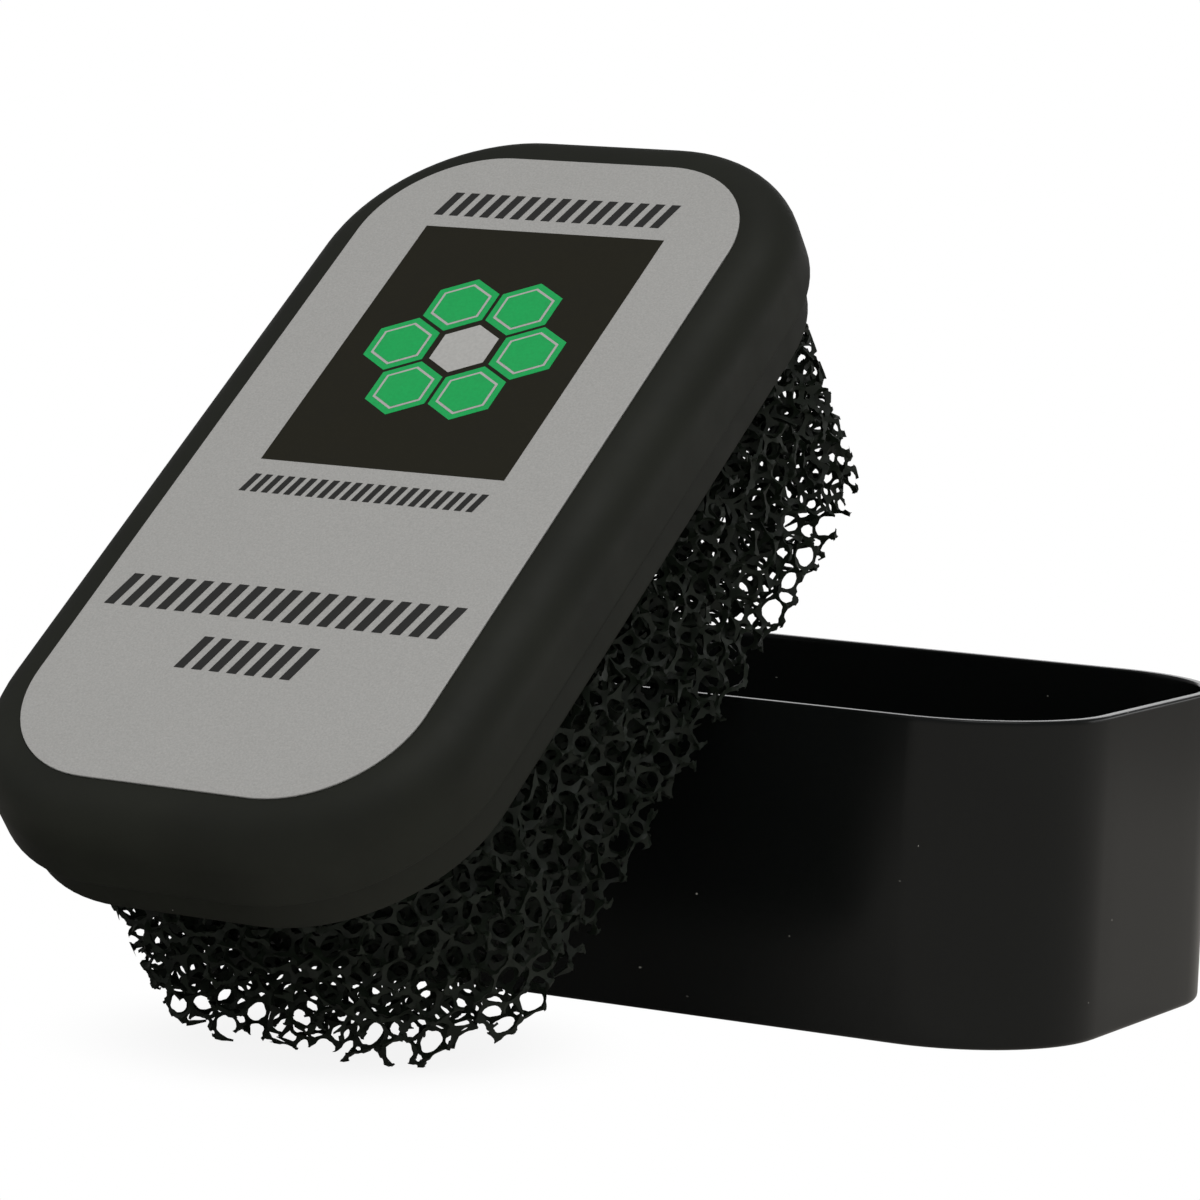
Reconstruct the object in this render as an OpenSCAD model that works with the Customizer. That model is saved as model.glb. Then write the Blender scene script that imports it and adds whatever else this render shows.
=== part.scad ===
// Suede brush: a block of coarse open-cell foam glued into a hollow moulded handle with a
// label on top, shown open and leaning on its own case. The handle's plug fits the case's
// mouth when the brush is put away. Millimetres, +Z up. The origin is the centre of the
// case's bottom, X runs along the case and the brush leans in from the -Y side.

/* [Case] */
// Outside length of the case, and of the handle that closes it
case_l = 85; // [70:0.5:110]
// Outside width of the case, and of the handle that closes it
case_w = 44.6; // [38:0.1:60]
// Outside height of the case
case_h = 26.9; // [24:0.1:34]
// Thickness of the case's wall
case_wall = 1; // [0.8:0.1:1.5]
// Thickness of the case's floor
case_floor = 1.2; // [0.8:0.1:2]
// Corner radius of the case, seen from above
case_corner_r = 12.6; // [11:0.1:14]
// Rounding of the case's bottom edge
case_edge_r = 0.5; // [0.3:0.1:2]
// Rounding inside the case, where its floor meets its wall
case_fillet_r = 0.8; // [0.4:0.1:1.5]

/* [Handle] */
// Height of the handle's outside, which stays above the case's rim
handle_h = 6.8; // [6:0.1:12]
// Corner radius of the handle, seen from above
handle_corner_r = 15.8; // [14:0.1:17]
// Rounding of the handle's top edge
handle_edge_r = 3.8; // [2:0.1:4.2]
// Thickness of the handle's top plate
handle_top = 1.8; // [1.4:0.1:2.5]
// Depth of the plug below the handle's outside
plug_depth = 3.5; // [2:0.1:6]
// Thickness of the plug's wall
plug_wall = 1; // [0.8:0.1:1.6]
// Gap between the plug and the case's wall when closed
plug_clearance = 0.15; // [0.05:0.05:0.4]

/* [Label] */
// Thickness of the label
label_t = 0.15; // [0.1:0.05:0.4]
// Flat ledge between the label's sides and the edge rounding
label_side_margin = 0.5; // [0:0.1:3]
// Flat ledge between the label's ends and the edge rounding
label_end_margin = 1; // [0:0.1:6]
// How much smaller the label's corner radius is than that of the flat it lies on
label_corner_ease = 1.6; // [0:0.1:3]

/* [Foam] */
// Thickness of the foam block
foam_t = 26.2; // [22:0.1:28]
// Gap between the foam and the plug on the side where the foam sits close
foam_near_gap = 0.25; // [0.1:0.05:1]
// Gap between the foam and the plug on the other side
foam_far_gap = 2.65; // [0.2:0.05:4]
// Gap between the foam and the plug at each end
foam_end_gap = 1.75; // [0.5:0.05:4]
// How far the foam bulges out on the close side, once it is clear of the plug
foam_bulge = 1; // [0:0.05:1.5]
// Depth below the plug at which the bulge starts
bulge_drop = 0.3; // [0.1:0.05:1]
// Thickness of the glue between the handle and the foam
glue_t = 0.3; // [0.2:0.05:1]
// Strip round the foam's edge that the glue leaves bare
glue_margin = 1.5; // [0.5:0.1:5]

/* [Pose] */
// Slope of the leaning brush, in degrees
brush_tilt = 38.4; // [35:0.1:44]
// Turn of the brush away from square to the case, in degrees
brush_turn = -2.1; // [-6:0.1:6]
// Place of the brush along the case, from the case's middle
brush_x = -6; // [-12:0.5:12]
// Gap left between the foam and the case's rim, where the brush leans on it
rim_gap = 0.1; // [0.1:0.05:1]

/* [Hidden] */
$fn = 96;

// Small overlap of a cutting tool past the face that it opens
cut = 1;

// How far the inside of the plug, and so the handle's hollow, lies inside the outline
hollow_inset = case_wall + plug_clearance + plug_wall;
plug_inset = case_wall + plug_clearance;

foam_l = case_l - 2 * (hollow_inset + foam_end_gap);
foam_w = case_w - 2 * hollow_inset - foam_near_gap - foam_far_gap;
foam_r = handle_corner_r - hollow_inset - foam_end_gap;
foam_y = (foam_near_gap - foam_far_gap) / 2;

label_l = case_l - 2 * (handle_edge_r + label_end_margin);
label_w = case_w - 2 * (handle_edge_r + label_side_margin);
label_r = handle_corner_r - handle_edge_r - label_corner_ease;

// Depths below the handle's top face
foam_top_depth = handle_top + glue_t;
foam_bottom_depth = foam_top_depth + foam_t;
bulge_depth = handle_h + plug_depth + bulge_drop;

// The leaning brush touches the ground with the lower edge of the foam and the case's rim
// with the foam's underside. Both fix the place of the middle of the handle's top face.
rim_reach = case_h / sin(brush_tilt) - foam_l / 2;
rim_run = rim_reach * cos(brush_tilt) + foam_bottom_depth * sin(brush_tilt);
turn_run = (foam_w / 2 + abs(foam_y) + foam_bulge) * abs(sin(brush_turn));
brush_y = -case_w / 2 - rim_gap / sin(brush_tilt) - rim_run * cos(brush_turn) - turn_run;
brush_z = foam_l / 2 * sin(brush_tilt) + foam_bottom_depth * cos(brush_tilt);

// Rectangle with round corners, centred
module rounded_outline(l, w, r) {
    square([l - 2 * r, w], center = true);
    square([l, w - 2 * r], center = true);
    for (x = [-1, 1], y = [-1, 1])
        translate([x * (l / 2 - r), y * (w / 2 - r)]) circle(r);
}

// Plate of that outline, from z = 0 up
module rounded_plate(l, w, r, h) {
    linear_extrude(h) rounded_outline(l, w, r);
}

// Plate whose lower edge has its own rounding: the edge's section is swept round the outline
module rounded_block(l, w, r, h, edge) {
    straight_l = l - 2 * r;
    straight_w = w - 2 * r;
    translate([-straight_l / 2, -straight_w / 2, 0]) cube([straight_l, straight_w, h]);
    for (turn = [0, 180]) rotate(turn) {
        translate([0, straight_w / 2, 0]) rotate([90, 0, 90])
            linear_extrude(straight_l, center = true) edge_section(r, h, edge);
        translate([straight_l / 2, 0, 0]) rotate([90, 0, 0])
            linear_extrude(straight_w, center = true) edge_section(r, h, edge);
        translate([straight_l / 2, straight_w / 2, 0])
            rotate_extrude(angle = 90) edge_section(r, h, edge);
        translate([-straight_l / 2, straight_w / 2, 0])
            rotate(90) rotate_extrude(angle = 90) edge_section(r, h, edge);
    }
}

// Section of such an edge: r wide and h high, with its lower outer corner rounded
module edge_section(r, h, edge) {
    translate([0, edge]) square([r, h - edge]);
    square([r - edge, h]);
    intersection() {
        translate([r - edge, edge]) circle(edge);
        translate([r - edge, 0]) square([edge, edge]);
    }
}

// Moves a piece of the brush from the brush's own axes to its leaning pose. In its own axes
// the brush lies flat, long side on X, with the middle of the handle's top face at the origin.
module leaning() {
    translate([brush_x, brush_y, brush_z])
        rotate([0, 0, 90 + brush_turn])
            rotate([0, -brush_tilt, 0])
                children();
}

// Thin-walled black tub that the brush closes
module case() {
    inside_l = case_l - 2 * case_wall;
    inside_w = case_w - 2 * case_wall;
    inside_r = case_corner_r - case_wall;
    color("#151616") difference() {
        rounded_block(case_l, case_w, case_corner_r, case_h, case_edge_r);
        translate([0, 0, case_floor])
            rounded_block(inside_l, inside_w, inside_r, case_h, case_fillet_r);
    }
}

// Hollow moulded handle: a cap as wide as the case, with a plug below that fits its mouth
module handle() {
    plug_l = case_l - 2 * plug_inset;
    plug_w = case_w - 2 * plug_inset;
    hollow_l = case_l - 2 * hollow_inset;
    hollow_w = case_w - 2 * hollow_inset;
    hollow_r = handle_corner_r - hollow_inset;
    total_h = handle_h + plug_depth;
    color("#2b2b27") leaning() difference() {
        union() {
            mirror([0, 0, 1])
                rounded_block(case_l, case_w, handle_corner_r, handle_h, handle_edge_r);
            translate([0, 0, -total_h]) rounded_plate(plug_l, plug_w,
                handle_corner_r - plug_inset, total_h - handle_edge_r);
        }
        translate([0, 0, -total_h - cut])
            rounded_plate(hollow_l, hollow_w, hollow_r, total_h - handle_top + cut);
    }
}

// Self-adhesive label on the handle's top face
module label() {
    color("#a0a2a4") leaning() rounded_plate(label_l, label_w, label_r, label_t);
}

// Glue between the inside of the handle's top and the foam
module glue_layer() {
    color("#b9b39a") leaning() translate([0, foam_y, -foam_top_depth])
        rounded_plate(foam_l - 2 * glue_margin, foam_w - 2 * glue_margin,
            foam_r - glue_margin, glue_t);
}

// Block of coarse open-cell foam that does the brushing. The plug squeezes it on one side, so
// below the plug it stands out further there.
module foam_block() {
    color("#222423") leaning() {
        translate([0, foam_y, -foam_bottom_depth])
            rounded_plate(foam_l, foam_w, foam_r, foam_t);
        translate([0, foam_y - foam_bulge / 2, -foam_bottom_depth])
            rounded_plate(foam_l, foam_w + foam_bulge, foam_r, foam_bottom_depth - bulge_depth);
    }
}

case();
handle();
label();
glue_layer();
foam_block();
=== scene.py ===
"""Suede brush, open, leaning on its own case.

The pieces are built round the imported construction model, in metres, in its own axes:
+Z up, X along the case, and the brush rising from the -Y side over the case's near rim.
"""

import math
from itertools import combinations

import bpy
import bmesh
import numpy as np
from mathutils import Euler, Matrix, Vector


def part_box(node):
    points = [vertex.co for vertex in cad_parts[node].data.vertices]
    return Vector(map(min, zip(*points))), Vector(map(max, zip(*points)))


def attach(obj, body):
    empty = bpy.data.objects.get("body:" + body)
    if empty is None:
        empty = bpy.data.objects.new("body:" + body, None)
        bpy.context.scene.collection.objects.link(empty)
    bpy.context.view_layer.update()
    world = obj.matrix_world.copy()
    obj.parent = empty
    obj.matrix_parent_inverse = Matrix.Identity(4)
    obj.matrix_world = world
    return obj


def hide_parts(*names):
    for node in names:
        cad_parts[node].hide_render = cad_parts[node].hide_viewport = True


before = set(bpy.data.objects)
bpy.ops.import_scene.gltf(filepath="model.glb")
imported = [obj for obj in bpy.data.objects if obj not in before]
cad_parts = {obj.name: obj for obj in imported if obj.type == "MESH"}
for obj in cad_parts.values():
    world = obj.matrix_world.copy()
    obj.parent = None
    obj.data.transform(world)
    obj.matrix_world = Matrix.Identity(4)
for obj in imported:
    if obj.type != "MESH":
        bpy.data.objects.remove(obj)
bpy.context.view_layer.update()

bl_info = {
    "name": "Suede Brush",
    "version": (1, 0, 0),
    "blender": (4, 5, 0),
    "location": "3D View > Sidebar > Suede Brush",
    "description": "Builds the foam, mouldings and label of a boxed suede brush",
    "category": "Object",
}

MM = 0.001
CASE_LOW, CASE_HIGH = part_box("case")
LABEL_LOW, LABEL_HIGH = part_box("label")


def hex_to_linear(code):
    """The linear colour, with alpha, of an sRGB hex value such as #23a658."""
    channels = [int(code[i:i + 2], 16) / 255 for i in (1, 3, 5)]
    linear = [c / 12.92 if c <= 0.04045 else ((c + 0.055) / 1.055) ** 2.4 for c in channels]
    return (*linear, 1.0)


def size(name, description, default, low, high):
    """A length property in millimetres."""
    return bpy.props.FloatProperty(name=name, description=description, default=default,
                                   min=low, max=high, precision=2)


def angle(name, description, degrees):
    """An angle property, given in degrees."""
    return bpy.props.FloatProperty(name=name, description=description, subtype="ANGLE",
                                   default=math.radians(degrees))


def colour(name, description, code):
    """A colour property, given as an sRGB hex value."""
    return bpy.props.FloatVectorProperty(name=name, description=description, size=4,
                                         default=hex_to_linear(code), min=0, max=1,
                                         subtype="COLOR")


class MouldingSettings(bpy.types.PropertyGroup):
    """Sizes and colours of the case and the handle."""
    case_corner_r: size("Case corner", "Plan corner radius of the case, mm", 12.6, 11, 14)
    handle_corner_r: size("Handle corner", "Plan corner radius of the handle, mm", 15.8, 14, 17)
    case_wall: size("Case wall", "Thickness of the case's wall, mm", 1, 0.8, 1.5)
    case_floor: size("Case floor", "Thickness of the case's floor, mm", 1.2, 0.8, 2)
    case_edge_r: size("Case edge", "Rounding of the case's bottom edge, mm", 0.5, 0.3, 2)
    case_fillet_r: size("Case fillet", "Rounding inside the case's floor, mm", 0.8, 0.4, 1.5)
    handle_h: size("Handle height", "Height of the handle above the case's rim, mm", 6.8, 6, 12)
    handle_edge_r: size("Handle edge", "Rounding of the handle's top edge, mm", 3.8, 2, 4.2)
    handle_top: size("Handle top", "Thickness of the handle's top plate, mm", 1.8, 1.4, 2.5)
    plug_depth: size("Plug depth", "Depth of the plug below the handle, mm", 3.5, 2, 6)
    plug_wall: size("Plug wall", "Thickness of the plug's wall, mm", 1, 0.8, 1.6)
    plug_clearance: size("Plug clearance", "Gap of the plug in the case, mm", 0.15, 0.05, 0.4)
    break_r: size("Broken edge", "Rounding that moulding leaves on a sharp edge, mm", 0.22, 0.05, 0.4)
    case_colour: colour("Case", "Colour of the case's plastic", "#0d0f0e")
    handle_colour: colour("Handle", "Colour of the handle's plastic", "#1d1f16")


class LabelSettings(bpy.types.PropertyGroup):
    """Sizes and colours of the label and its print."""
    thickness: size("Thickness", "Thickness of the label, mm", 0.15, 0.1, 0.4)
    side_margin: size("Side ledge", "Flat ledge beside the label, mm", 0.5, 0, 3)
    end_margin: size("End ledge", "Flat ledge at the label's ends, mm", 1, 0, 6)
    corner_ease: size("Corner ease", "How much tighter its corners are than the flat's, mm", 1.6, 0, 3)
    ink_t: size("Ink", "Thickness of the printed ink, mm", 0.02, 0.01, 0.05)
    panel_l: size("Panel length", "Length of the dark panel, mm", 29.8, 10, 40)
    panel_w: size("Panel width", "Width of the dark panel, mm", 23.1, 10, 32)
    panel_x: size("Panel place", "Place of the panel along the label, mm", 13.4, -20, 20)
    cell_r: size("Cell", "Radius of one cell of the badge, mm", 3.3, 1, 5)
    film_colour: colour("Film", "Colour of the silver-grey film", "#abaaa7")
    panel_colour: colour("Panel", "Colour of the dark panel", "#201e12")
    badge_colour: colour("Badge", "Colour of the badge's cells", "#10a453")
    stroke_colour: colour("Strokes", "Colour of the rows of strokes", "#2b2b2a")


class FoamSettings(bpy.types.PropertyGroup):
    """Sizes and colour of the open-cell foam."""
    thickness: size("Thickness", "Thickness of the block, mm", 26.2, 22, 28)
    glue_t: size("Glue", "Thickness of the glue, mm", 0.3, 0.2, 1)
    near_gap: size("Near gap", "Gap to the plug on the close side, mm", 0.25, 0.1, 1)
    far_gap: size("Far gap", "Gap to the plug on the other side, mm", 2.65, 0.2, 4)
    end_gap: size("End gap", "Gap to the plug at each end, mm", 1.75, 0.5, 4)
    bulge: size("Bulge", "How far it stands out below the plug on the close side, mm", 1, 0, 1.5)
    bulge_drop: size("Bulge start", "Depth below the plug where the bulge starts, mm", 0.3, 0.1, 1)
    cell: size("Cell", "Spacing of the cells, mm", 3.5, 2, 5)
    disorder: bpy.props.FloatProperty(
        name="Disorder", description="Scatter of the cells, as a share of their spacing",
        default=0.22, min=0, max=0.4)
    strut_r: size("Strut", "Reach of a strut's ridges from its axis, mm", 0.175, 0.1, 0.5)
    web_r: size("Web", "Reach of the webs where struts meet, mm", 0.37, 0.2, 1)
    tear: size("Tear", "Depth to which the cut faces are torn, mm", 0.45, 0, 2)
    draw_in: size("Draw in", "How far outside a face a corner may lie and be kept, mm", 0.6, 0, 1.5)
    seed: bpy.props.IntProperty(name="Seed", description="Seed of the foam's random layout",
                                default=11, min=0)
    colour: colour("Foam", "Colour of the foam", "#181f16")


class StageSettings(bpy.types.PropertyGroup):
    """Camera, pose and dust."""
    camera_place: bpy.props.FloatVectorProperty(
        name="Camera place", description="Place of the lens, mm", size=3,
        default=(207.25, -398.94, 79.89))
    camera_turn: angle("Turn", "Turn to the left of straight on", 28.103)
    camera_dip: angle("Dip", "How far the view points down", 6.334)
    camera_roll: angle("Roll", "Roll about the line of sight", -2.353)
    focal: bpy.props.FloatProperty(
        name="Focal length", description="Focal length on a 36 mm wide picture, mm",
        default=156.09)
    centre: bpy.props.FloatVectorProperty(
        name="Centre", description="Pixel of the optical axis in the 1200 by 1200 picture",
        size=2, default=(649.0, 620.6))
    dust: bpy.props.FloatProperty(
        name="Dust", description="Specks of dust on each 100 square centimetres", default=60.0,
        min=0.0, max=1000.0)
    brush_tilt: angle("Slope", "Slope of the leaning brush", 38.4)
    brush_turn: angle("Turn of the brush", "Turn away from square to the case", -2.1)


def moulding():
    return bpy.context.scene.suede_moulding


def label_settings():
    return bpy.context.scene.suede_label


def foam_settings():
    return bpy.context.scene.suede_foam


def stage_settings():
    return bpy.context.scene.suede_stage


# Nodes

def set_inputs(tree, node, inputs):
    """Gives a node's inputs their values and links."""
    for key, value in inputs.items():
        if isinstance(value, bpy.types.NodeSocket):
            tree.links.new(value, node.inputs[key])
        else:
            node.inputs[key].default_value = value


def add_node(tree, kind, inputs=None, **settings):
    """Adds a node with its settings, input values and links, to any kind of node tree."""
    node = tree.nodes.new(kind)
    for name, value in settings.items():
        setattr(node, name, value)
    set_inputs(tree, node, inputs or {})
    return node


def geometry_tree(name, inputs):
    """A geometry tree with these named inputs and their kinds, and the sockets that give them."""
    tree = bpy.data.node_groups.new(name, "GeometryNodeTree")
    for socket, kind in inputs.items():
        tree.interface.new_socket(socket, in_out="INPUT", socket_type=f"NodeSocket{kind}")
    tree.interface.new_socket("Pieces", in_out="OUTPUT", socket_type="NodeSocketGeometry")
    return tree, add_node(tree, "NodeGroupInput").outputs


def end_tree(tree, copies, material):
    """Ends a geometry tree: its copies are made real and get their material."""
    real = add_node(tree, "GeometryNodeRealizeInstances", {"Geometry": copies})
    dressed = add_node(tree, "GeometryNodeSetMaterial", {
        "Geometry": real.outputs[0], "Material": material})
    add_node(tree, "NodeGroupOutput", {0: dressed.outputs[0]})


def grown(obj, tree, values):
    """The plain mesh that a geometry tree makes of an object, which is used up."""
    modifier = obj.modifiers.new(tree.name, "NODES")
    modifier.node_group = tree
    for item in tree.interface.items_tree:
        if item.item_type == "SOCKET" and item.in_out == "INPUT" and item.name in values:
            modifier[item.identifier] = values[item.name]
    depsgraph = bpy.context.evaluated_depsgraph_get()
    mesh = bpy.data.meshes.new_from_object(obj.evaluated_get(depsgraph))
    bpy.data.objects.remove(obj)
    return mesh


# Meshes

# Steps of an outline's quarter round and of the straight stretch between two of them
CORNER_STEPS = 20
STRAIGHT_STEPS = 6

# Rings this far beside a rounding keep the shading of the flats beyond it flat, mm
HOLD = 0.3
SIDE_HOLD = 0.4

# Width of the small step in which two faces meet in a hollow corner, mm
CREASE = 0.05
# Reach of the rounding in the handle's hollow, mm
HOLLOW_ROUND = 0.5


def case_size():
    """Length, width and height of the case, in mm, from the frame."""
    return [(high - low) / MM for low, high in zip(CASE_LOW, CASE_HIGH)]


def leaning():
    """Matrix from the brush's own axes, in mm, to its leaning place, in metres.

    In its own axes the brush lies flat, long side on X, with the middle of the handle's
    top face at the origin.
    """
    s = stage_settings()
    turn = Matrix.Rotation(math.radians(90) + s.brush_turn, 4, "Z")
    tilt = Matrix.Rotation(-s.brush_tilt, 4, "Y")
    spin = turn @ tilt
    middle = (LABEL_LOW + LABEL_HIGH) / 2
    top = middle - spin.to_3x3() @ Vector((0, 0, label_settings().thickness / 2 * MM))
    return Matrix.Translation(top) @ spin @ Matrix.Scale(MM, 4)


def new_object(name, mesh, matrix=None):
    """Links a mesh as an object at the origin, with its place in the mesh."""
    if matrix is not None:
        mesh.transform(matrix)
    obj = bpy.data.objects.new(name, mesh)
    bpy.context.scene.collection.objects.link(obj)
    return obj


def mesh_from_arrays(name, points, faces):
    """A mesh from an array of points and a list of face arrays, one for each face size."""
    mesh = bpy.data.meshes.new(name)
    sizes = np.concatenate([np.full(len(f), f.shape[1], np.int32) for f in faces])
    corners = np.concatenate([f.ravel() for f in faces]).astype(np.int32)
    starts = np.concatenate([[0], np.cumsum(sizes)[:-1]]).astype(np.int32)
    mesh.vertices.add(len(points))
    mesh.vertices.foreach_set("co", np.asarray(points, np.float32).ravel())
    mesh.loops.add(len(corners))
    mesh.loops.foreach_set("vertex_index", corners)
    mesh.polygons.add(len(sizes))
    mesh.polygons.foreach_set("loop_start", starts)
    mesh.polygons.foreach_set("use_smooth", np.ones(len(sizes), bool))
    mesh.update(calc_edges=True)
    mesh.validate()
    return mesh


def closed_mesh(name, shells, smooth):
    """A mesh of closed shells, each a list of rings of points with a flat cap at both ends."""
    bm = bmesh.new()
    for rings in shells:
        rows = [[bm.verts.new(point) for point in ring] for ring in rings]
        for low, high in zip(rows, rows[1:]):
            for i in range(len(low)):
                j = (i + 1) % len(low)
                bm.faces.new((low[i], low[j], high[j], high[i]))
        bm.faces.new(list(reversed(rows[0])))
        bm.faces.new(rows[-1])
    bmesh.ops.recalc_face_normals(bm, faces=bm.faces)
    for face in bm.faces:
        face.smooth = smooth
    mesh = bpy.data.meshes.new(name)
    bm.to_mesh(mesh)
    bm.free()
    return mesh


def outline_ring(length, width, radius, inset, height):
    """Points of a rectangle with round corners, drawn in by inset, at one height."""
    r = radius - inset
    rounds = []
    for quarter, (sx, sy) in enumerate(((1, 1), (-1, 1), (-1, -1), (1, -1))):
        x, y = sx * (length / 2 - radius), sy * (width / 2 - radius)
        angles = [math.radians(90) * (quarter + step / CORNER_STEPS)
                  for step in range(CORNER_STEPS + 1)]
        rounds.append([(x + r * math.cos(a), y + r * math.sin(a)) for a in angles])
    points = []
    for this, following in zip(rounds, rounds[1:] + rounds[:1]):
        points += this
        (x, y), (end_x, end_y) = this[-1], following[0]
        for step in range(1, STRAIGHT_STEPS):
            t = step / STRAIGHT_STEPS
            points.append((x + (end_x - x) * t, y + (end_y - y) * t))
    return [(x, y, height) for x, y in points]


def arc(inset, height, radius, start, end, steps):
    """Points of a section's round edge, as pairs of inset and height."""
    angles = [math.radians(start + (end - start) * step / steps) for step in range(steps + 1)]
    return [(inset + radius * math.cos(a), height + radius * math.sin(a)) for a in angles]


def swept_mesh(name, length, width, radius, section):
    """A closed mesh: a section of (inset, height) points swept round an outline."""
    rings = [outline_ring(length, width, radius, inset, height) for inset, height in section]
    return closed_mesh(name, [rings], smooth=True)


# Materials

def new_material(name):
    """An empty node material with its surface shader: (material, tree, shader)."""
    material = bpy.data.materials.new(name)
    material.use_nodes = True
    tree = material.node_tree
    tree.nodes.clear()
    shader = add_node(tree, "ShaderNodeBsdfPrincipled")
    add_node(tree, "ShaderNodeOutputMaterial", {"Surface": shader.outputs["BSDF"]})
    return material, tree, shader


def noise(tree, spacing, detail=2.0, roughness=0.5, stretch=None):
    """A noise pattern fixed to the piece, with features about this many mm apart."""
    place = add_node(tree, "ShaderNodeTexCoord").outputs["Object"]
    if stretch:
        place = add_node(tree, "ShaderNodeMapping", {"Vector": place, "Scale": stretch}).outputs[0]
    return add_node(tree, "ShaderNodeTexNoise", {
        "Vector": place, "Scale": 1 / (spacing * MM), "Detail": detail,
        "Roughness": roughness}).outputs[0]


def uneven(tree, pattern, low, high):
    """A value that wanders from low to high with a noise pattern, which lies round a half."""
    return add_node(tree, "ShaderNodeMapRange", {
        "Value": pattern, "From Min": 0.3, "From Max": 0.7, "To Min": low, "To Max": high}).outputs[0]


def mottled(tree, pattern, first, second):
    """A colour that wanders from the first to the second linear colour with a noise pattern."""
    return add_node(tree, "ShaderNodeMix", {
        0: uneven(tree, pattern, 0, 1), 6: first, 7: second}, data_type="RGBA").outputs[2]


def shade(linear, factor):
    """A linear colour made lighter or darker by a factor."""
    return (*[min(1.0, c * factor) for c in linear[:3]], 1.0)


def handle_plastic():
    """Polypropylene moulded in a finely spark-eroded tool: an even satin, a soft light band
    on its roundings and a very fine grain that shows only close up."""
    material, tree, shader = new_material("satin_moulded_polypropylene")
    base = moulding().handle_colour
    flow = noise(tree, 9.0, detail=3)
    rub = noise(tree, 3.5, detail=5, roughness=0.6)
    grain = noise(tree, 0.12)
    wave = noise(tree, 14.0, detail=1)
    fine = add_node(tree, "ShaderNodeBump", {
        "Strength": 0.25, "Distance": 0.02 * MM, "Height": grain})
    slow = add_node(tree, "ShaderNodeBump", {
        "Strength": 0.5, "Distance": 0.10 * MM, "Height": wave, "Normal": fine.outputs[0]})
    set_inputs(tree, shader, {
        "Base Color": mottled(tree, flow, shade(base, 0.9), shade(base, 1.12)),
        "Roughness": uneven(tree, rub, 0.54, 0.62), "IOR": 1.49, "Specular IOR Level": 0.36,
        "Normal": slow.outputs[0]})
    return material


def case_plastic():
    """Polystyrene moulded in a polished tool: near black, glossier than the handle, with
    faint sink waves in its reflections and a few hair scratches."""
    material, tree, shader = new_material("gloss_moulded_polystyrene")
    base = moulding().case_colour
    flow = noise(tree, 12.0)
    rub = noise(tree, 9.0)
    wave = noise(tree, 16.0, detail=1, stretch=(1.0, 1.0, 0.45))
    hair = noise(tree, 0.5, detail=1, stretch=(0.12, 0.12, 1.0))
    slow = add_node(tree, "ShaderNodeBump", {
        "Strength": 0.4, "Distance": 0.12 * MM, "Height": wave})
    fine = add_node(tree, "ShaderNodeBump", {
        "Strength": 0.08, "Distance": 0.01 * MM, "Height": hair, "Normal": slow.outputs[0]})
    set_inputs(tree, shader, {
        "Base Color": mottled(tree, flow, shade(base, 0.9), shade(base, 1.1)),
        "Roughness": uneven(tree, rub, 0.17, 0.21), "IOR": 1.45, "Normal": fine.outputs[0]})
    return material


def label_film():
    """Self-adhesive film printed silver-grey: metal flake in the ink gives a fine sparkle
    grain and a slow change of gloss across the label."""
    material, tree, shader = new_material("silver_printed_film")
    base = label_settings().film_colour
    flake = noise(tree, 0.16, detail=3, roughness=0.7)
    cloud = noise(tree, 7.0, detail=3)
    bump = add_node(tree, "ShaderNodeBump", {
        "Strength": 0.2, "Distance": 0.01 * MM, "Height": flake})
    set_inputs(tree, shader, {
        "Base Color": mottled(tree, flake, shade(base, 0.86), shade(base, 1.12)),
        "Roughness": uneven(tree, cloud, 0.40, 0.50), "Metallic": 0.15, "IOR": 1.5,
        "Normal": bump.outputs[0]})
    return material


def printing_ink(name, base):
    """Screen-printed ink: flat colour with a slight mottle where it was laid thinner."""
    material, tree, shader = new_material(name)
    mottle = noise(tree, 0.3, detail=3, roughness=0.6)
    sheen = noise(tree, 4.0)
    set_inputs(tree, shader, {
        "Base Color": mottled(tree, mottle, shade(base, 0.93), shade(base, 1.07)),
        "Roughness": uneven(tree, sheen, 0.34, 0.44), "IOR": 1.48, "Specular IOR Level": 0.3})
    return material


def foam_plastic():
    """Reticulated polyurethane, its cell windows burned out: glossy three-sided struts that
    catch small glints, with a slightly dusty, uneven skin."""
    material, tree, shader = new_material("reticulated_polyurethane")
    base = foam_settings().colour
    dust = noise(tree, 2.4, detail=4, roughness=0.6)
    skin = noise(tree, 0.6, detail=3)
    bump = add_node(tree, "ShaderNodeBump", {
        "Strength": 0.3, "Distance": 0.03 * MM, "Height": skin})
    set_inputs(tree, shader, {
        "Base Color": mottled(tree, dust, shade(base, 0.75), shade(base, 1.35)),
        "Roughness": uneven(tree, skin, 0.42, 0.58), "IOR": 1.5, "Specular IOR Level": 0.34,
        "Normal": bump.outputs[0]})
    return material


def dried_glue():
    """Contact adhesive, rolled on and dried: amber-grey, uneven and half glossy."""
    material, tree, shader = new_material("dried_contact_adhesive")
    roll = noise(tree, 1.2, detail=4)
    bump = add_node(tree, "ShaderNodeBump", {
        "Strength": 0.5, "Distance": 0.1 * MM, "Height": roll})
    set_inputs(tree, shader, {
        "Base Color": mottled(tree, roll, hex_to_linear("#8d8468"), hex_to_linear("#b7ad8c")),
        "Roughness": 0.45, "Normal": bump.outputs[0]})
    return material


def lint_fibre():
    """Airborne dust and lint on black plastic: pale and matt."""
    material, tree, shader = new_material("household_lint")
    grey = noise(tree, 2.0)
    set_inputs(tree, shader, {
        "Base Color": mottled(tree, grey, hex_to_linear("#6d6c66"), hex_to_linear("#a8a69c")),
        "Roughness": 0.9})
    return material


# Foam: cells of a disordered packing, whose edges are the struts

# Neighbours of a cell that may share a corner with it, and those that push it away
NEAREST = 24
PUSHING = 16
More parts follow.
